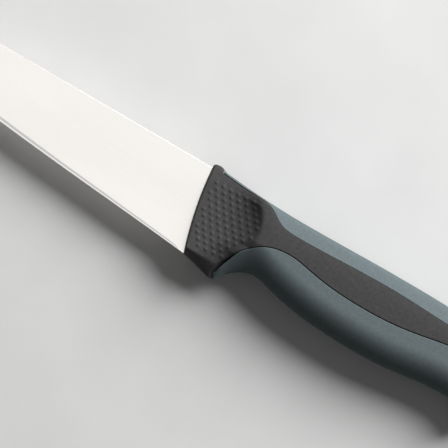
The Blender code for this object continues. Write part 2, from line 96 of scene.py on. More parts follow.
# Handle thickness. A squareness of two makes a rounding a quarter circle, and more a fuller one
ROUND = 2.0
GRIP_THICKNESS = 22.0
SCOOP_DEPTH = 6.0
SCOOP_LENGTH = 7.2
SCOOP_STRAIGHT = 0.8        # how far the deeper part runs straight across instead of following the rim
SCOOP_BLEND = 4.0
SCOOP_LEAN = 0.028          # the thumb rest gets this much deeper with each millimetre towards the back
RIM_EASE = 0.5              # the rim falls this much less steeply at its upper end
RIM_X = 28.65
RIM_Y = -16.0
RIM_RADIUS = 18.5
RIM_LOW, RIM_HIGH = -24.5, -3.8
RIM_SOFTNESS = 0.65
GUARD_OPENING = 0.9         # how fast the thumb rest opens out below, where it reaches the finger guard
FACET_ANGLE = 24.0
FACET_START, FACET_RUN = 3.9, 2.4
CROWN_WIDTH, CROWN_CURVE = 6.5, 0.022
BACK_ROUND, BACK_SQUARENESS = 2.2, 5.0
GUARD_TOP, GUARD_SQUARENESS = -31.5, 1.45
BELLY_ROUND, BELLY_SQUARENESS = 11.1, 1.85
WAIST_ROUND, WAIST_SQUARENESS = 12.7, 1.3
WAIST_BLEND = (27.0, 40.0)
BUTT_ROUND, BUTT_SQUARENESS = 7.0, 2.4
CORNER_BLEND = (121.0, 136.0)   # where the back's rounding turns into the butt's

# Places along the handle, and depths below the line of the blade's back
HANDLE_LENGTH = 138.0
COLLAR_END = 5.1
COLLAR_RISE = 1.6
BOLSTER_END = 16.0
GUARD_X, GUARD_DEPTH = 22.0, 37.2
PAD_END = 29.0
WAIST_X, WAIST_DEPTH = 35.0, 28.2
BELLY_DEPTH = 34.0
NECK_X, NECK_DEPTH = 119.0, 31.1
STRIP_END = 127.0
HOOK_X, HOOK_DEPTH = 133.6, 35.7
CORNER_X, CORNER_DEPTH = 134.0, 8.4
BUTT_MIDDLE_DEPTH = 22.0
MIDDLE_X = (WAIST_X + NECK_X) / 2

# Seams between the mouldings
SOFT_WALL = 2.5
STRIP_GAP = np.array((0.32, 0.10))      # over the bolster, and over the grip
STRIP_CORNER = np.array((0.18, 0.14))
BELLY_GAP = 0.2
DARK_ROUND, LIGHT_ROUND = 0.45, 0.2     # seam corners that face the knife's edge and its back
LIP_WIDTH, LIP_DROP = 2.0, 3.6          # the core falls away like this beside the tip of the belly grip
LIP_START, LIP_END = -21.0, -31.5
LIP_MOST, LIP_SQUARENESS = 0.7, 1.4
HEEL_BAND = 5.0

# Dots of the thumb rest: rows and places across, with a slow bend of the whole pattern
DOT_RADIUS = 1.15
DOT_HEIGHT = 0.34
DOT_ORIGIN = np.array((7.46, -9.0))
DOT_ACROSS = np.array((3.1, 0.0))
DOT_DOWN = np.array((-0.17, -2.2))
DOT_BEND = np.array((0.026, 0.04))
DOT_ROWS = (-2, 10)
DOT_PLACES = (-4, 8)
DOT_FROM_FACE = 2.0
DOT_FROM_RIM = 1.0
DOT_FROM_SEAM = 2.4
DOT_TOP, DOT_BOTTOM = -3.4, -31.6

# Mesh density: rows along each stretch of the handle, and shares across it
STRETCH_ROWS = (6, 14, 44, 52, 10, 56, 14, 22)
TOP_POINTS = 9
PANEL_STEPS = 170
ROUND_STEPS = 18
BACK_STEPS = np.array((0.0, 0.003, 0.012, 0.03, 0.07, 0.15, 0.3, 0.6, 1.0))
STRIP_STEPS = 24
BELLY_STEPS = 44
BLADE_ROWS = 150
CHAMFER_POINTS = 6
FLAT_START, FLAT_POINTS = 0.6, 26       # columns across the blade's flat, from this far below its back
FULL_DROP = 9.0             # brings any point of the blade down to the middle plane
TIP_CROWDING = 1.4          # rows stand closer together towards the tip
SIDE_CROWDING = 0.7         # columns stand closer together at the edges of the soft pieces
BELLY_TURN = 0.72           # share of the belly grip's side that rounds over to its underside
BAND_POINTS = 6
HONED_FROM = 3              # the point across the ground band at which its honed part, painted brighter, begins
HALVINGS = 20               # steps in the search for where a wall has its full thickness
SHARP_ANGLE = 40.0          # edges bent further than this are shaded sharp
MERGE = 1e-8                # metres: points closer than this are one
MIDDLE = 1e-6               # metres: anything this near to the middle plane lies on it
WELD = 1e-6
THINNEST = 0.02             # least half thickness just inside the bolster's lower edge
CURVE_SAMPLES = 40
CURVE_SLACK = 0.95          # longest pair of handles on a stretch of outline, as a share of its span
STEP_BLEND = 0.9            # depth of the strip's step at which its side gap is whole
ROW_BOW = 2.5               # bends the rows forward between the strip and the finger guard's seam
CHUNK = 3000                # points measured against an outline at one time

# Photograph: middle of its frame in plan, width of the frame, and how far the knife is turned in it
VIEW_X, VIEW_Y = 15.0, -16.8
VIEW_WIDTH = 170.2
VIEW_TURN = 30.1
VIEW_DISTANCE = 2500.0
VIEW_END = 20.0             # metres
SENSOR = 36.0

# Light: one soft lamp, weak even light all round, and a pale table top. Lengths are in metres
KEY_AZIMUTH = 70.0
KEY_ELEVATION = 32.0
KEY_DISTANCE = 1.5
KEY_SIZE = 1.2
KEY_LEVEL = 1.80            # brightness of a white surface that faces the lamp
FILL = 0.10
FLOOR_BOUNCE = 0.05         # how pale the floor is to the light that it throws back up
FLOOR_REACH = 2.0
FLOOR_GAP = 0.0002
FLOOR_DARK, FLOOR_LIGHT = (0.76, 0.76, 0.755), (0.80, 0.80, 0.795)
FLOOR_WAVES, FLOOR_DETAIL = 30.0, 4.0
FLOOR_ROUGHNESS, FLOOR_GLOSS = 0.9, 0.1

# Surfaces: waves of noise in a metre, and how far a value spreads either way
TONE_WAVES, TONE_DETAIL = 900.0, 4.0
PATCH_WAVES, PATCH_DETAIL, PATCH_SPREAD = 260.0, 3.0, 0.05
GRAIN_WAVES, GRAIN_DETAIL = 2600.0, 3.0
DIMPLE_WAVES, DIMPLE_DETAIL, DIMPLE_DEPTH = 500.0, 2.0, 2       # the depth is in grains
STEEL_WAVES, STEEL_STRETCH = 18.0, (1.0, 2.5, 1.0)
STEEL_DARK, STEEL_LIGHT = 0.975, 1.02
STREAK_DETAIL, STREAK_SPREAD, STREAK_DEPTH = 3.0, 0.02, 2e-7
ALONG, ACROSS = (60.0, 2600.0, 60.0), (2600.0, 60.0, 60.0)      # lines along the blade, or across it

# Place of the knife's zero, and of the middle of the photograph's frame
blade_box, belly_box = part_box("blade"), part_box("belly_grip")
PLACE = Vector((
    blade_box[0].x + BLADE_LENGTH * MM,
    belly_box[0].y + GUARD_DEPTH * MM,
    (blade_box[0].z + blade_box[1].z) / 2,
))
TARGET = PLACE + Vector((VIEW_X, VIEW_Y, 0)) * MM


class Outline:
    """A smooth plan line through knots: (x, y, heading in degrees, handle before, handle after)."""

    def __init__(self, knots):
        parts = []
        t = np.linspace(0, 1, CURVE_SAMPLES)[:, None]
        for (x0, y0, turn0, _, out0), (x1, y1, turn1, in1, _) in zip(knots[:-1], knots[1:]):
            start, end = np.array((x0, y0)), np.array((x1, y1))
            reach = min(1.0, CURVE_SLACK * np.linalg.norm(end - start) / max(out0 + in1, WELD))
            first = start + reach * out0 * heading(turn0)
            second = end - reach * in1 * heading(turn1)
            parts.append(
                (1 - t) ** 3 * start + 3 * t * (1 - t) ** 2 * first
                + 3 * t**2 * (1 - t) * second + t**3 * end
            )
        points = np.concatenate(parts)
        keep = np.append(True, np.linalg.norm(np.diff(points, axis=0), axis=1) > WELD)
        self.points = points[keep]
        steps = np.linalg.norm(np.diff(self.points, axis=0), axis=1)
        self.run = np.append(0.0, np.cumsum(steps))

    def run_at_x(self, x):
        """Distance along the line to its last crossing of x."""
        i = np.nonzero(self.points[:-1, 0] < x)[0][-1]
        share = (x - self.points[i, 0]) / (self.points[i + 1, 0] - self.points[i, 0])
        return self.run[i] + share * (self.run[i + 1] - self.run[i])

    def rows(self, marks, counts):
        """Points at equal steps within each stretch between marks, which are distances along the line."""
        places = [np.linspace(a, b, n, endpoint=False) for a, b, n in zip(marks[:-1], marks[1:], counts)]
        places = np.append(np.concatenate(places), marks[-1])
        return np.stack([np.interp(places, self.run, self.points[:, k]) for k in (0, 1)], axis=1)

    def distance(self, points):
        """Least distance from each plan point to the line."""
        start, span = self.points[:-1], np.diff(self.points, axis=0)
        length = (span**2).sum(1)
        found = []
        for some in np.array_split(points, max(1, len(points) // CHUNK)):
            offset = some[:, None, :] - start
            share = np.clip((offset * span).sum(2) / length, 0, 1)
            found.append(np.linalg.norm(offset - share[..., None] * span, axis=2).min(axis=1))
        return np.concatenate(found)

    def y_at(self, x):
        return np.interp(x, self.points[:, 0], self.points[:, 1])


def heading(degrees):
    return np.array((math.cos(math.radians(degrees)), math.sin(math.radians(degrees))))


def face_x(y):
    """The handle's front face in plan."""
    return FACE_START + FACE_LEAN * np.abs(y) + FACE_BOW * y**2


HEEL_Y = -HEEL_WIDTH - HEEL_OVERHANG
BACK = Outline([
    (FACE_START, COLLAR_RISE - 1.1, 75, 0, 0.8),
    (2.9, COLLAR_RISE, 0, 1.3, 1.2),
    (5.6, 0.8, -24, 0.7, 1.0),
    (11.4, 0.05, -6, 2.2, 8.0),
    (42.0, -1.45, 0, 12.0, 12.0),
    (MIDDLE_X + 3.0, -1.03, 0, 12.0, 12.0),
    (NECK_X, -2.4, -7, 12.0, 5.0),
    (CORNER_X, -CORNER_DEPTH, -50, 4.5, 0),
])
STRIP_EDGE = Outline([
    (FACE_START, 0.25, -5, 0, 1.0),
    (COLLAR_END, 0.06, -9, 1.0, 4.0),
    (14.0, -0.88, -5, 3.0, 3.0),
    (22.5, -1.25, -4, 3.0, 4.6),
    (31.0, -4.4, -34, 3.4, 3.6),
    (42.0, -7.25, 0, 6.5, 12.0),
    (MIDDLE_X + 4.0, -6.3, 0, 13.0, 10.0),
    (NECK_X - 7.0, -7.3, 0, 8.0, 4.0),
    (NECK_X + 2.0, -5.2, 14, 3.5, 3.0),
    (STRIP_END, -5.2, -16, 2.0, 2.0),
    (CORNER_X, -CORNER_DEPTH, -50, 3.5, 0),
])
UNDERSIDE = Outline([
    (face_x(HEEL_Y), HEEL_Y, -9, 0, 4.0),
    (GUARD_X - 4.5, 0.4 - GUARD_DEPTH, -14, 3.0, 2.2),
    (GUARD_X - BELLY_GAP, -GUARD_DEPTH, 8, 1.5, 0),
])
HEEL_LINE = Outline([
    (face_x(HEEL_Y + HEEL_BAND), HEEL_Y + HEEL_BAND, -9, 0, 5.0),
    (GUARD_X - BELLY_GAP, -GUARD_DEPTH, -50, 4.0, 0),
])
BELLY_EDGE = Outline([
    (GUARD_X, -GUARD_DEPTH, 125, 0, 1.0),
    (GUARD_X - 0.9, 2.5 - GUARD_DEPTH, 80, 1.2, 2.5),
    (GUARD_X + 2.95, -23.7, 68, 4.5, 1.6),
    (29.2, -19.1, 40, 2.6, 5.0),
    (42.8, -14.7, 0, 6.0, 7.0),
    (MIDDLE_X, -18.25, 0, 21.5, 21.0),
    (NECK_X - 4.0, -14.0, 0, 8.5, 8.0),
    (HOOK_X - 2.0, -27.0, -74, 6.5, 3.6),
    (HOOK_X, -HOOK_DEPTH, -70, 3.0, 0),
])
UNDER_EDGE = Outline([
    (GUARD_X, -GUARD_DEPTH, 30, 0, 0.8),
    (GUARD_X + 2.6, 3.6 - GUARD_DEPTH, 60, 1.6, 2.0),
    (WAIST_X, -WAIST_DEPTH, 0, 4.5, 6.0),
    (MIDDLE_X + 5.0, -BELLY_DEPTH, 0, 34.0, 20.0),
    (NECK_X + 2.0, -NECK_DEPTH, 0, 17.0, 4.5),
    (HOOK_X, -HOOK_DEPTH, -22, 5.0, 0),
])
BUTT_EDGE = Outline([
    (CORNER_X, -CORNER_DEPTH, -50, 0, 4.5),
    (HANDLE_LENGTH, -BUTT_MIDDLE_DEPTH, -90, 7.0, 7.0),
    (HOOK_X + BELLY_GAP, -HOOK_DEPTH, 190, 4.5, 0),
])


def rounding(distance, radius, squareness):
    """Share of the full thickness at a distance in from an edge that is rounded over radius."""
    inside = np.clip(1 - distance / np.maximum(radius, WELD), 0, 1)
    return (1 - inside**squareness) ** (1 / squareness)


def blended(first, second, share):
    return first + share * (second - first)


def softened(distance, radius):
    """How far a corner rounded to radius lies below its flat face, at a distance from the corner."""
    return radius * (1 - rounding(distance, radius, ROUND))


def rim_ahead(points):
    """How far a point lies inside the thumb rest's rim: square to it near by, along the knife further in."""
    x, y = points.T
    reach = np.sqrt(RIM_RADIUS**2 - (np.clip(y, RIM_LOW, RIM_HIGH) - RIM_Y) ** 2)
    open_end = GUARD_OPENING * np.clip(RIM_LOW - y, 0, None)
    ahead = RIM_X - RIM_RADIUS + reach - x + open_end
    square = reach / RIM_RADIUS
    ahead = ahead * (1 - (1 - square) * np.exp(-np.clip(ahead, 0, None) / SCOOP_BLEND))
    upper = np.clip((y - RIM_Y) / (RIM_HIGH - RIM_Y), 0, 1)
    ahead = ahead * (1 - RIM_EASE * upper**2 * np.exp(-np.clip(ahead, 0, None) / SCOOP_LENGTH))
    guard_side = BELLY_EDGE.points[BELLY_EDGE.points[:, 0] < WAIST_X]
    from_seam = np.interp(y, guard_side[:, 1], guard_side[:, 0]) - x
    return np.minimum(ahead, np.where(from_seam > 0, from_seam + open_end, from_seam))


def scoop(points):
    """Depth of the thumb rest: deepest at the front, with a round rim behind."""
    ahead = rim_ahead(points)
    blend = np.clip(ahead + RIM_SOFTNESS, 0, 2 * RIM_SOFTNESS) ** 2 / (4 * RIM_SOFTNESS)
    ahead = np.where(ahead < RIM_SOFTNESS, blend, ahead)
    straight = RIM_X - points[:, 0] - ahead
    ahead = ahead + SCOOP_STRAIGHT * straight * (1 - np.exp(-ahead / SCOOP_BLEND))
    share = 1 - np.exp(-ahead / SCOOP_LENGTH)
    return SCOOP_DEPTH * share * (1 + SCOOP_LEAN * (points[:, 1] - RIM_Y) * share**4)


def smooth(share):
    """A share kept between 0 and 1, and rounded off at both ends."""
    share = np.clip(share, 0, 1)
    return share**2 * (3 - 2 * share)


def between_marks(x, marks):
    """0 before the first mark along the handle, rising to 1 at the second."""
    return smooth((x - marks[0]) / (marks[1] - marks[0]))


def strip_seam(x, values):
    """A size of the strip's seam at x, from its values over the bolster and over the grip."""
    return blended(*values, between_marks(x + BOLSTER_END - COLLAR_END, WAIST_BLEND))


def half_thickness(points, inset=0.0):
    """Height of the handle's side above its middle plane, with every face moved in by inset."""
    x, y = points.T
    side = GRIP_THICKNESS / 2 - inset - scoop(points)
    facet = np.clip((x - FACET_START) / FACET_RUN, 0, 1) * math.tan(math.radians(FACET_ANGLE))
    above = y - STRIP_EDGE.y_at(x)
    side = side - np.clip(above, 0, None) * facet
    side = side - CROWN_CURVE / 2 * np.clip(above + CROWN_WIDTH, 0, CROWN_WIDTH) ** 2
    grip, butt = between_marks(x, WAIST_BLEND), between_marks(x, CORNER_BLEND)
    for distance, radius, squareness in (
        (
            np.minimum(BACK.distance(points), BUTT_EDGE.distance(points)),
            blended(BACK_ROUND, BUTT_ROUND, butt),
            blended(BACK_SQUARENESS, BUTT_SQUARENESS, butt),
        ),
        (UNDERSIDE.distance(points), GUARD_TOP - UNDERSIDE.y_at(x), GUARD_SQUARENESS),
        (
            UNDER_EDGE.distance(points),
            blended(WAIST_ROUND, BELLY_ROUND, grip),
            blended(WAIST_SQUARENESS, BELLY_SQUARENESS, grip),
        ),
    ):
        side = side * rounding(distance - inset, radius - inset, squareness)
    return side


def dot_centres():
    """Middles of the thumb rest's dots in plan."""
    row, place = np.meshgrid(np.arange(*DOT_ROWS), np.arange(*DOT_PLACES), indexing="ij")
    row, across = row.reshape(-1, 1), (place + row / 2).reshape(-1, 1)
    centres = DOT_ORIGIN + across * DOT_ACROSS + row * DOT_DOWN + across**2 * DOT_BEND
    x, y = centres.T
    keep = (y < DOT_TOP) & (y > DOT_BOTTOM) & (x > face_x(y) + DOT_FROM_FACE)
    keep &= (rim_ahead(centres) > DOT_FROM_RIM) & (BELLY_EDGE.distance(centres) > DOT_FROM_SEAM)
    return centres[keep]


def dots(points):
    """Height of the dots above the thumb rest."""
    height = np.zeros(len(points))
    for centre in dot_centres():
        away = np.linalg.norm(points - centre, axis=1) / DOT_RADIUS
        height += DOT_HEIGHT * np.cos(np.pi / 2 * np.clip(away, 0, 1)) ** 2
    return height


def shifted(line, distance):
    """A row of plan points moved to its left by distance."""
    along = np.gradient(line, axis=0)
    along /= np.linalg.norm(along, axis=1)[:, None]
    return line + distance * np.stack((-along[:, 1], along[:, 0]), axis=1)


def between(first, second, steps):
    """Plan points between two rows of points, at the given shares of the way."""
    steps = np.asarray(steps)[None, :, None]
    return first[:, None, :] * (1 - steps) + second[:, None, :] * steps


def raised(plan, inset=0.0, detail=None):
    """Plan points with the handle's half thickness, and any detail of its surface, as their height."""
    points = plan.reshape(-1, 2)
    height = half_thickness(points, inset)
    if detail:
        height = np.clip(detail(points, height), 0, None)
    return np.concatenate((plan, height.reshape(plan.shape[:2])[..., None]), axis=2)


def at_height(plan, height):
    return np.concatenate((plan, np.broadcast_to(height, plan.shape[:-1])[..., None]), axis=-1)


def spread(count, crowding=0.5):
    """Shares from 0 to 1, closer together at both ends."""
    t = np.linspace(0, 1, count)
    return t - crowding * np.sin(2 * np.pi * t) / (2 * np.pi)


def along(corners, count):
    """Points at equal steps of index along each row of corners, which are three-dimensional."""
    places = np.linspace(0, corners.shape[1] - 1, count)
    low = np.minimum(places.astype(int), corners.shape[1] - 2)
    share = (places - low)[None, :, None]
    return corners[:, low] * (1 - share) + corners[:, low + 1] * share


def station_rows():
    """Matching rows of points on the handle's long lines, from its front face to the butt."""
    places = (FACE_START + FACE_ROUND, COLLAR_END, BOLSTER_END, PAD_END, WAIST_X, NECK_X, STRIP_END)

    def whole(line):
        marks = [0.0] + [line.run_at_x(x) for x in places] + [line.run[-1]]
        return line.rows(marks, STRETCH_ROWS)

    def front(line):
        shares = [(x - FACE_START) / (BOLSTER_END - FACE_START) for x in places[:2]]
        marks = [0.0] + [share * line.run[-1] for share in shares] + [line.run[-1]]
        return line.rows(marks, STRETCH_ROWS[:3])

    def rear(line):
        waist, neck = line.run_at_x(WAIST_X), line.run_at_x(NECK_X)
        pad = waist * (PAD_END - BOLSTER_END) / (WAIST_X - BOLSTER_END)
        tail = neck + (line.run[-1] - neck) * (STRIP_END - NECK_X) / (CORNER_X - NECK_X)
        return line.rows([0.0, pad, waist, neck, tail, line.run[-1]], STRETCH_ROWS[3:])

    upper = whole(BACK), whole(STRIP_EDGE)
    return *upper, front(UNDERSIDE), front(HEEL_LINE), rear(BELLY_EDGE), rear(UNDER_EDGE)


def strip_inner(back, strip, wall, gap=0.0):
    """Inner corners of the strip's section: by its edge, at its floor, on the middle plane."""
    floor = back - np.array((0.0, SOFT_WALL))
    lip = strip[:, 1] - floor[:, 1]
    height = half_thickness(strip) - SOFT_WALL + gap * np.clip(lip / STEP_BLEND, -1, 1)
    fall = np.clip(-lip, 0, None) * math.tan(math.radians(FACET_ANGLE))
    floor[:, 1] -= gap
    return np.stack((at_height(wall, height), at_height(floor, height - fall), at_height(floor, 0.0)), axis=1)


def belly_inner(belly, under, inset):
    """The inner face of the belly grip's section, from its edge round to the middle plane."""
    least, most = np.zeros(len(belly)), np.ones(len(belly))
    for _ in range(HALVINGS):
        reach = (least + most) / 2
        clear = UNDER_EDGE.distance(belly + (under - belly) * reach[:, None]) > inset
        least, most = np.where(clear, reach, least), np.where(clear, most, reach)
    lowest = belly + (under - belly) * least[:, None]
    shares = 1 - (1 - np.linspace(0, 1, ROUND_STEPS)) ** 2
    inner = raised(between(belly, lowest, shares), inset)
    inner[:, -1, 2] = 0.0
    return inner


def slot_height(y):
    """Half height of the blade's slot in the front face, level with y."""
    down = np.clip(-y / (HEEL_WIDTH - BEVEL_WIDTH), 0, 1)
    blade = (BACK_THICKNESS + down * (BEVEL_THICKNESS - BACK_THICKNESS)) / 2
    beside = (y < SLOT_GAP - BACK_STEP) & (y > -HEEL_WIDTH - SLOT_GAP)
    return np.where(beside, blade + SLOT_GAP, 0.0)


def face_detail(points, height):
    """Rounds the corner between the handle's front face and its sides."""
    return height - FACE_DROP / FACE_ROUND * softened(points[:, 0] - face_x(points[:, 1]), FACE_ROUND)


def core_detail(points, height):
    """Dots, rounded seam corners, and the lip that falls away beside the tip of the belly grip."""
    x, y = points.T
    height = face_detail(points, height) + dots(points)
    from_strip = STRIP_EDGE.distance(points) - strip_seam(x, STRIP_GAP)
    upper = np.where((x > COLLAR_END) & (x < STRIP_END), from_strip, LIGHT_ROUND)
    lower = np.clip(BELLY_EDGE.distance(points) - BELLY_GAP, 0, None)
    share = np.clip((LIP_START - y) / (LIP_START - LIP_END), 0, 1)
    share *= np.clip((PAD_END - x) / (PAD_END - GUARD_X), 0, 1)
    width = blended(DARK_ROUND, LIP_WIDTH, share)
    drop = blended(DARK_ROUND, LIP_DROP, share)
    squareness = blended(ROUND, LIP_SQUARENESS, share)
    lip = np.minimum(drop, LIP_MOST * height) * (1 - rounding(lower, width, squareness))
    return height - softened(np.clip(upper, 0, None), LIGHT_ROUND) - lip


def core_rows():
    """Half sections of the hard core, each from the middle of its back to the middle of its belly."""
    back, strip, underside, heel, belly, under = station_rows()
    collar, bolster = sum(STRETCH_ROWS[:2]), sum(STRETCH_ROWS[:3])
    strip_last = sum(STRETCH_ROWS[:7])

    strip_side = strip.copy()
    strip_gap = strip_seam(strip[:, 0], STRIP_GAP)[:, None]
    strip_side[collar:strip_last + 1] = shifted(strip, -strip_gap)[collar:strip_last + 1]
    belly_wall = shifted(belly, BELLY_GAP)
    belly_wall[0] = UNDERSIDE.points[-1]
    belly_wall[-1] = BUTT_EDGE.points[-1]
    lower = np.concatenate((heel, belly_wall[1:]))

    steps = spread(PANEL_STEPS)
    panel = between(strip_side, lower, steps)
    rows = np.arange(len(panel))
    front_pull = np.clip(1 - rows / bolster, 0, 1) ** 2
    panel[:, :, 0] += front_pull[:, None] * (face_x(panel[0, :, 1]) - panel[0, :, 0])
    guard_pull = smooth(1 - np.abs(rows - bolster) / bolster)
    panel[:, :, 0] -= ROW_BOW * guard_pull[:, None] * 4 * steps * (1 - steps)
    butt_bow = BUTT_EDGE.rows(BUTT_EDGE.run[-1] * steps, np.ones(PANEL_STEPS - 1, int)) - panel[-1]
    rear_pull = np.clip((rows - strip_last) / (rows[-1] - strip_last), 0, 1) ** 2
    panel += rear_pull[:, None, None] * butt_bow

    panel = raised(panel, detail=core_detail)
    panel[-1, :, 2] = 0.0

    outer_back = raised(between(back, strip_side, BACK_STEPS), detail=face_detail)[:, :-1]
    outer_back[:, 0, 2] = 0.0
    groove = strip_inner(back, strip, strip_side, STRIP_GAP[1])[:, ::-1]
    groove = along(np.concatenate((groove, panel[:, :1]), axis=1), TOP_POINTS)[:, :-1]
    chin_steps = 1 - (1 - np.linspace(0, 1, ROUND_STEPS + 1)[1:]) ** 2
    chin = raised(between(heel, underside, chin_steps), detail=core_detail)
    chin[:-1, :-1, 2] = np.maximum(chin[:-1, :-1, 2], THINNEST)
    chin[:, -1, 2] = 0.0
    rib = belly_inner(belly_wall, under, SOFT_WALL + BELLY_GAP)

    order = [(i, outer_back) for i in range(collar + 1)]
    order += [(i, groove) for i in range(collar, strip_last + 1)]
    order += [(i, outer_back) for i in range(strip_last, len(rows))]
    sections = [
        np.concatenate((top[i], panel[i], chin[i] if i <= bolster else rib[i - bolster])) for i, top in order
    ]
    edge = sections[0].copy()
    edge[:, 2] = slot_height(edge[:, 1])
    inside = edge + np.array((SLOT_DEPTH, 0.0, 0.0))
    end = inside * np.array((1.0, 1.0, 0.0))
    return np.array([end, inside, edge] + sections)


def belly_rows():
    """Half sections of the belly grip: round its outside from the bottom, and back inside."""
    belly, under = station_rows()[4:]
    turn = np.radians(np.linspace(0, 90, BELLY_STEPS // 2))
    side = BELLY_TURN + (1 - BELLY_TURN) * spread(BELLY_STEPS // 2, SIDE_CROWDING)
    steps = np.append(BELLY_TURN * (1 - np.cos(turn))[:-1], side)

    def detail(points, height):
        return height - softened(BELLY_EDGE.distance(points), LIGHT_ROUND)

    outer = raised(between(under, belly, steps), detail=detail)
    outer[:, 0, 2] = 0.0
    return np.concatenate((outer, belly_inner(belly, under, SOFT_WALL)), axis=1)


def strip_rows():
    """Half sections of the back strip: over its outside from the middle, and back inside."""
    start, end = COLLAR_END + STRIP_GAP[1], STRIP_END - STRIP_GAP[1]

    def row(line):
        marks = (start, BOLSTER_END, PAD_END, WAIST_X, NECK_X, end)
        return line.rows([line.run_at_x(x) for x in marks], STRETCH_ROWS[2:7])

    def detail(points, height):
        return height - softened(STRIP_EDGE.distance(points), strip_seam(points[:, 0], STRIP_CORNER))

    back, strip = row(BACK), row(STRIP_EDGE)
    side = BACK_STEPS[-2] + (1 - BACK_STEPS[-2]) * spread(STRIP_STEPS, SIDE_CROWDING)
    steps = np.append(BACK_STEPS[:-2], side)
    outer = raised(between(back, strip, steps), detail=detail)
    outer[:, 0, 2] = 0.0
    return np.concatenate((outer, strip_inner(back, strip, strip)), axis=1)


def back_y(x):
    """Back of the blade: it rises slightly away from the handle, then drops to the tip."""
    low = np.clip(1 + x / (BLADE_LENGTH - BACK_CURVE), 0, 1)
    drop = np.clip((BACK_CURVE - BLADE_LENGTH - x) / BACK_CURVE, 0, 1)
    return -BACK_STEP * low - TIP_DROP * drop**2


def edge_y(x):
    """Cutting edge: a taper with a slight belly, then a curve up to the tip."""
    heel_x = face_x(HEEL_WIDTH)
    straight_at_tip = -HEEL_WIDTH + EDGE_TAPER * (heel_x + BLADE_LENGTH)
    curve = np.clip((TIP_CURVE - BLADE_LENGTH - x) / TIP_CURVE, 0, 1) ** TIP_CURVE_POWER
    rise = -TIP_DROP - TIP_WIDTH - straight_at_tip
    belly = np.sin(np.pi * np.clip(x / (TIP_CURVE - BLADE_LENGTH), 0, 1)) ** 2
    return -HEEL_WIDTH + EDGE_TAPER * (heel_x - x) - EDGE_BELLY * belly + rise * curve


def blade_rows():
    """Upper halves of the blade's flat and of the ground band, whose outer part is honed. The band's inner
    part takes steel painted darker than the flat, and its honed part steel painted brighter, as painted
    reflections of their tilted faces.
    """
    turn = np.radians(np.linspace(90, 0, CHAMFER_POINTS))
    across = np.linspace(FLAT_START, HEEL_WIDTH, FLAT_POINTS)
    depths = np.concatenate(([0.0], BACK_CHAMFER * (1 - np.sin(turn)), across))
    drops = np.concatenate(([FULL_DROP], BACK_CHAMFER * (1 - np.cos(turn)), np.zeros(FLAT_POINTS)))
    ends = face_x(depths) + BLADE_REACH
    tip_share = TIP_CURVE / BLADE_LENGTH
    shares = np.append(
        tip_share * np.linspace(0, 1, BLADE_ROWS // 2, endpoint=False) ** TIP_CROWDING,
        np.linspace(tip_share, 1, BLADE_ROWS),
    )
    x = -BLADE_LENGTH + shares[:, None] * (ends + BLADE_LENGTH)
    back, edge = back_y(x), edge_y(x)
    fade = np.clip((x - BEVEL_FADE_START) / (BEVEL_FADE_END - BEVEL_FADE_START), 0, 1)
    width = np.minimum(BEVEL_WIDTH - BEVEL_GROWTH * x, BEVEL_WIDEST)
    width = np.minimum(width, BEVEL_MOST * (back - edge)) * np.sqrt(1 - fade**2)
    bevel = edge + width
    down = depths / HEEL_WIDTH
    y = back - depths + down * (bevel - back + HEEL_WIDTH)
    back_thickness = TIP_THICKNESS + shares[:, None] * (BACK_THICKNESS - TIP_THICKNESS)
    height = (back_thickness + down * (BEVEL_THICKNESS - back_thickness)) / 2 - drops
    flat = np.stack((x, y, np.clip(height, 0, None)), axis=2)

    thinned = np.where(width[:, -1] > BEVEL_LEAST, EDGE_THICKNESS, BEVEL_THICKNESS) / 2
    sharp = np.stack((x[:, -1], edge[:, -1], thinned), axis=1)
    band = along(np.stack((flat[:, -1], sharp), axis=1), BAND_POINTS)
    return flat, band[:, :HONED_FROM + 1], band[:, HONED_FROM:]


def solid(name, grids, materials, capped=False):
    """A closed piece from the upper halves of its surface; each grid takes the material of its place."""
    points = np.concatenate([grid.reshape(-1, 3) for grid in grids])
    faces, finish, first = [], [], 0
    for k, grid in enumerate(grids):
        rows, columns = grid.shape[:2]
        corner = first + np.arange(rows - 1)[:, None] * columns + np.arange(columns - 1)
        quads = np.stack((corner, corner + 1, corner + columns + 1, corner + columns), axis=-1).reshape(-1, 4)
        quads = quads[points[quads, 2].max(axis=1) > WELD]
        faces += quads.tolist()
        finish += [min(k, len(materials) - 1)] * len(quads)
        if capped:
            last = first + (rows - 1) * columns
            faces += [list(range(first, first + columns)), list(range(last, last + columns))]
            finish += [0, 0]
        first += rows * columns
    data = bpy.data.meshes.new(name)
    data.from_pydata((points * MM).tolist(), [], faces)
    data.polygons.foreach_set("material_index", finish)

    mesh = bmesh.new()
    mesh.from_mesh(data)
    bmesh.ops.remove_doubles(mesh, verts=mesh.verts, dist=MERGE)
    bmesh.ops.dissolve_degenerate(mesh, edges=mesh.edges, dist=MERGE)
    border = [e for e in mesh.edges if e.is_boundary and max(v.co.z for v in e.verts) > MIDDLE]
    copy = bmesh.ops.duplicate(mesh, geom=mesh.verts[:] + mesh.edges[:] + mesh.faces[:])
    other = copy["vert_map"]
    for item in copy["geom"]:
        if isinstance(item, bmesh.types.BMVert):
            item.co.z = -item.co.z
    bmesh.ops.reverse_faces(mesh, faces=[f for f in copy["geom"] if isinstance(f, bmesh.types.BMFace)])
    for e in border:
        a, b = e.verts
        wall = mesh.faces.new((a, b, other[b], other[a]))
        wall.material_index = e.link_faces[0].material_index
    bmesh.ops.remove_doubles(mesh, verts=mesh.verts, dist=MIDDLE)
    bmesh.ops.recalc_face_normals(mesh, faces=mesh.faces)
    mesh.to_mesh(data)
    mesh.free()

    data.transform(Matrix.Translation(PLACE))
    data.shade_smooth()
    data.set_sharp_from_angle(angle=math.radians(SHARP_ANGLE))
    piece = bpy.data.objects.new(name, data)
    bpy.context.collection.objects.link(piece)
    for material in materials:
        data.materials.append(material)
    return piece


def new_material(name):
    material = bpy.data.materials.new(name)
    material.use_nodes = True
    tree = material.node_tree
    return material, tree, tree.nodes["Principled BSDF"]


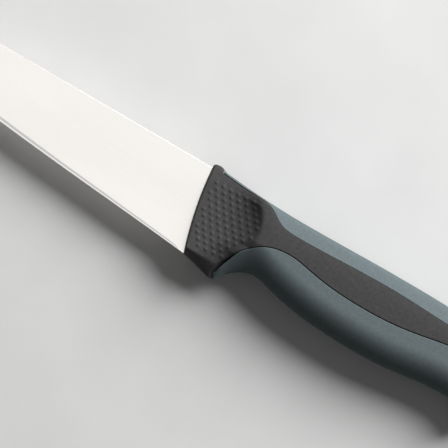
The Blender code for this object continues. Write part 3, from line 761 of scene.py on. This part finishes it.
def noise(tree, scale, detail=2.0, stretch=(1.0, 1.0, 1.0)):
    """Noise in the object's own space; scale counts waves in a metre."""
    place = tree.nodes.new("ShaderNodeTexCoord")
    turn = tree.nodes.new("ShaderNodeMapping")
    turn.inputs["Scale"].default_value = stretch
    tree.links.new(place.outputs["Object"], turn.inputs["Vector"])
    made = tree.nodes.new("ShaderNodeTexNoise")
    made.inputs["Scale"].default_value = scale
    made.inputs["Detail"].default_value = detail
    tree.links.new(turn.outputs["Vector"], made.inputs["Vector"])
    return made.outputs["Fac"]


def ramp(tree, source, low, high, start=0.3, end=0.7):
    """Turns a 0 to 1 value into a colour or a number between low and high."""
    node = tree.nodes.new("ShaderNodeMapRange" if isinstance(low, float) else "ShaderNodeValToRGB")
    if isinstance(low, float):
        node.inputs["From Min"].default_value = start
        node.inputs["From Max"].default_value = end
        node.inputs["To Min"].default_value = low
        node.inputs["To Max"].default_value = high
        tree.links.new(source, node.inputs["Value"])
        return node.outputs["Result"]
    node.color_ramp.elements[0].position = start
    node.color_ramp.elements[0].color = (*low, 1.0)
    node.color_ramp.elements[1].position = end
    node.color_ramp.elements[1].color = (*high, 1.0)
    tree.links.new(source, node.inputs["Fac"])
    return node.outputs["Color"]


def bumped(tree, shader, heights):
    """Adds bumps from (source, depth in metres) pairs, one after another."""
    normal = None
    for source, depth in heights:
        bump = tree.nodes.new("ShaderNodeBump")
        bump.inputs["Strength"].default_value = 1.0
        bump.inputs["Distance"].default_value = depth
        tree.links.new(source, bump.inputs["Height"])
        if normal:
            tree.links.new(normal, bump.inputs["Normal"])
        normal = bump.outputs["Normal"]
    tree.links.new(normal, shader.inputs["Normal"])


def moulded(name, colour, spread_share, roughness, specular, grain):
    """A matte moulded plastic: soft patches of tone, a fine eroded grain and uneven roughness."""
    material, tree, shader = new_material(name)
    dark = tuple(c * (1 - spread_share) for c in colour)
    light = tuple(c * (1 + spread_share) for c in colour)
    tone = ramp(tree, noise(tree, TONE_WAVES, TONE_DETAIL), dark, light)
    tree.links.new(tone, shader.inputs["Base Color"])
    patches = noise(tree, PATCH_WAVES, PATCH_DETAIL)
    uneven = ramp(tree, patches, roughness - PATCH_SPREAD, roughness + PATCH_SPREAD)
    tree.links.new(uneven, shader.inputs["Roughness"])
    shader.inputs["Specular IOR Level"].default_value = specular
    bumped(tree, shader, [
        (noise(tree, GRAIN_WAVES, GRAIN_DETAIL), grain),
        (noise(tree, DIMPLE_WAVES, DIMPLE_DETAIL), grain * DIMPLE_DEPTH),
    ])
    return material


def steel(name, colour, roughness, lines):
    """Satin steel: fine lines, stretched as given, and faint broad changes of tone."""
    material, tree, shader = new_material(name)
    dark = tuple(c * STEEL_DARK for c in colour)
    light = tuple(min(1.0, c * STEEL_LIGHT) for c in colour)
    tone = ramp(tree, noise(tree, STEEL_WAVES, stretch=STEEL_STRETCH), dark, light)
    tree.links.new(tone, shader.inputs["Base Color"])
    shader.inputs["Metallic"].default_value = 1.0
    streaks = noise(tree, 1.0, STREAK_DETAIL, lines)
    uneven = ramp(tree, streaks, roughness - STREAK_SPREAD, roughness + STREAK_SPREAD)
    tree.links.new(uneven, shader.inputs["Roughness"])
    bumped(tree, shader, [(streaks, STREAK_DEPTH)])
    return material


def lamp(name, azimuth, elevation, distance, size, power):
    """A soft round lamp that looks at the middle of the view. Azimuth is from +X towards +Y."""
    data = bpy.data.lights.new(name, "AREA")
    data.shape = "DISK"
    data.size = size
    data.energy = power
    item = bpy.data.objects.new(name, data)
    a, e = math.radians(azimuth), math.radians(elevation)
    way = Vector((math.cos(a) * math.cos(e), math.sin(a) * math.cos(e), math.sin(e)))
    item.location = TARGET + way * distance
    item.rotation_euler = way.to_track_quat("Z", "Y").to_euler()
    bpy.context.collection.objects.link(item)


def seen_rays(tree):
    """1 for rays by which the camera sees a thing, straight or in a shiny or clear surface."""
    path = tree.nodes.new("ShaderNodeLightPath")
    either = path.outputs["Is Camera Ray"]
    for output in ("Is Glossy Ray", "Is Transmission Ray"):
        most = tree.nodes.new("ShaderNodeMath")
        most.operation = "MAXIMUM"
        tree.links.new(either, most.inputs[0])
        tree.links.new(path.outputs[output], most.inputs[1])
        either = most.outputs["Value"]
    return either


def world():
    """Even, weak light all round; shiny surfaces and the camera see a white room."""
    made = bpy.data.worlds.new("room")
    made.use_nodes = True
    tree = made.node_tree
    tree.nodes.clear()
    out = tree.nodes.new("ShaderNodeOutputWorld")
    lights = tree.nodes.new("ShaderNodeBackground")
    lights.inputs["Color"].default_value = (1.0, 1.0, 1.0, 1.0)
    lights.inputs["Strength"].default_value = FILL
    seen = tree.nodes.new("ShaderNodeBackground")
    seen.inputs["Color"].default_value = (1.0, 1.0, 1.0, 1.0)
    seen.inputs["Strength"].default_value = 1.0
    mix = tree.nodes.new("ShaderNodeMixShader")
    tree.links.new(seen_rays(tree), mix.inputs["Fac"])
    tree.links.new(lights.outputs["Background"], mix.inputs[1])
    tree.links.new(seen.outputs["Background"], mix.inputs[2])
    tree.links.new(mix.outputs["Shader"], out.inputs["Surface"])
    bpy.context.scene.world = made


def floor():
    """A plain pale table top."""
    mesh = bmesh.new()
    bmesh.ops.create_grid(mesh, x_segments=1, y_segments=1, size=FLOOR_REACH)
    data = bpy.data.meshes.new("table_top")
    mesh.to_mesh(data)
    mesh.free()
    top = bpy.data.objects.new("table_top", data)
    top.location = (0, 0, -FLOOR_GAP)
    bpy.context.collection.objects.link(top)
    material, tree, shader = new_material("pale_table")
    tone = ramp(tree, noise(tree, FLOOR_WAVES, FLOOR_DETAIL), FLOOR_DARK, FLOOR_LIGHT)
    mix = tree.nodes.new("ShaderNodeMix")
    mix.data_type = "RGBA"
    mix.inputs["A"].default_value = (FLOOR_BOUNCE, FLOOR_BOUNCE, FLOOR_BOUNCE, 1.0)
    tree.links.new(seen_rays(tree), mix.inputs["Factor"])
    tree.links.new(tone, mix.inputs["B"])
    tree.links.new(mix.outputs["Result"], shader.inputs["Base Color"])
    shader.inputs["Roughness"].default_value = FLOOR_ROUGHNESS
    shader.inputs["Specular IOR Level"].default_value = FLOOR_GLOSS
    data.materials.append(material)


def camera():
    """Looks straight down, turned as the photograph is."""
    data = bpy.data.cameras.new("camera")
    data.sensor_width = SENSOR
    data.lens = SENSOR * VIEW_DISTANCE / VIEW_WIDTH
    data.clip_end = VIEW_END
    item = bpy.data.objects.new("camera", data)
    item.location = TARGET + Vector((0, 0, VIEW_DISTANCE * MM))
    item.rotation_euler = (0, 0, math.radians(VIEW_TURN))
    bpy.context.collection.objects.link(item)
    bpy.context.scene.camera = item


bpy.context.scene.view_settings.view_transform = "Standard"
camera()
world()
floor()
lamp("key", KEY_AZIMUTH, KEY_ELEVATION, KEY_DISTANCE, KEY_SIZE, KEY_LEVEL * math.pi**2 * KEY_DISTANCE**2)

satin = steel("satin_steel", (0.885, 0.862, 0.828), 0.26, ALONG)
# The ground band's grind lines are real. Its colour, much darker than the flat's, is painted shade that
# stands in for the dimmer reflection of its tilted face.
ground = steel("ground_steel_painted_dim_reflection", (0.58, 0.57, 0.56), 0.30, ACROSS)
# The honed edge is real. Its steel, brighter than the ground band's, is a painted highlight that stands in
# for the reflection of its tilted face.
honed = steel("honed_steel_painted_bright_reflection", (0.83, 0.82, 0.81), 0.22, ACROSS)
black = moulded("black_plastic", (0.0675, 0.0652, 0.0660), 0.13, 0.55, 0.06, 7e-6)
soft = moulded("soft_grip", (0.137, 0.168, 0.176), 0.08, 0.62, 0.04, 5e-6)

blade = solid("blade_visual", blade_rows(), (satin, ground, honed))
core = solid("handle_core_visual", [core_rows()], (black,))
belly = solid("belly_grip_visual", [belly_rows()], (soft,))
strip = solid("back_strip_visual", [strip_rows()], (soft,), capped=True)

for piece, node, slot in (
    (blade, "blade", "stainless_steel"),
    (core, "handle_core", "black_plastic"),
    (belly, "belly_grip", "soft_grip"),
    (strip, "back_strip", "soft_grip"),
):
    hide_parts(node)
    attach(piece, "root")
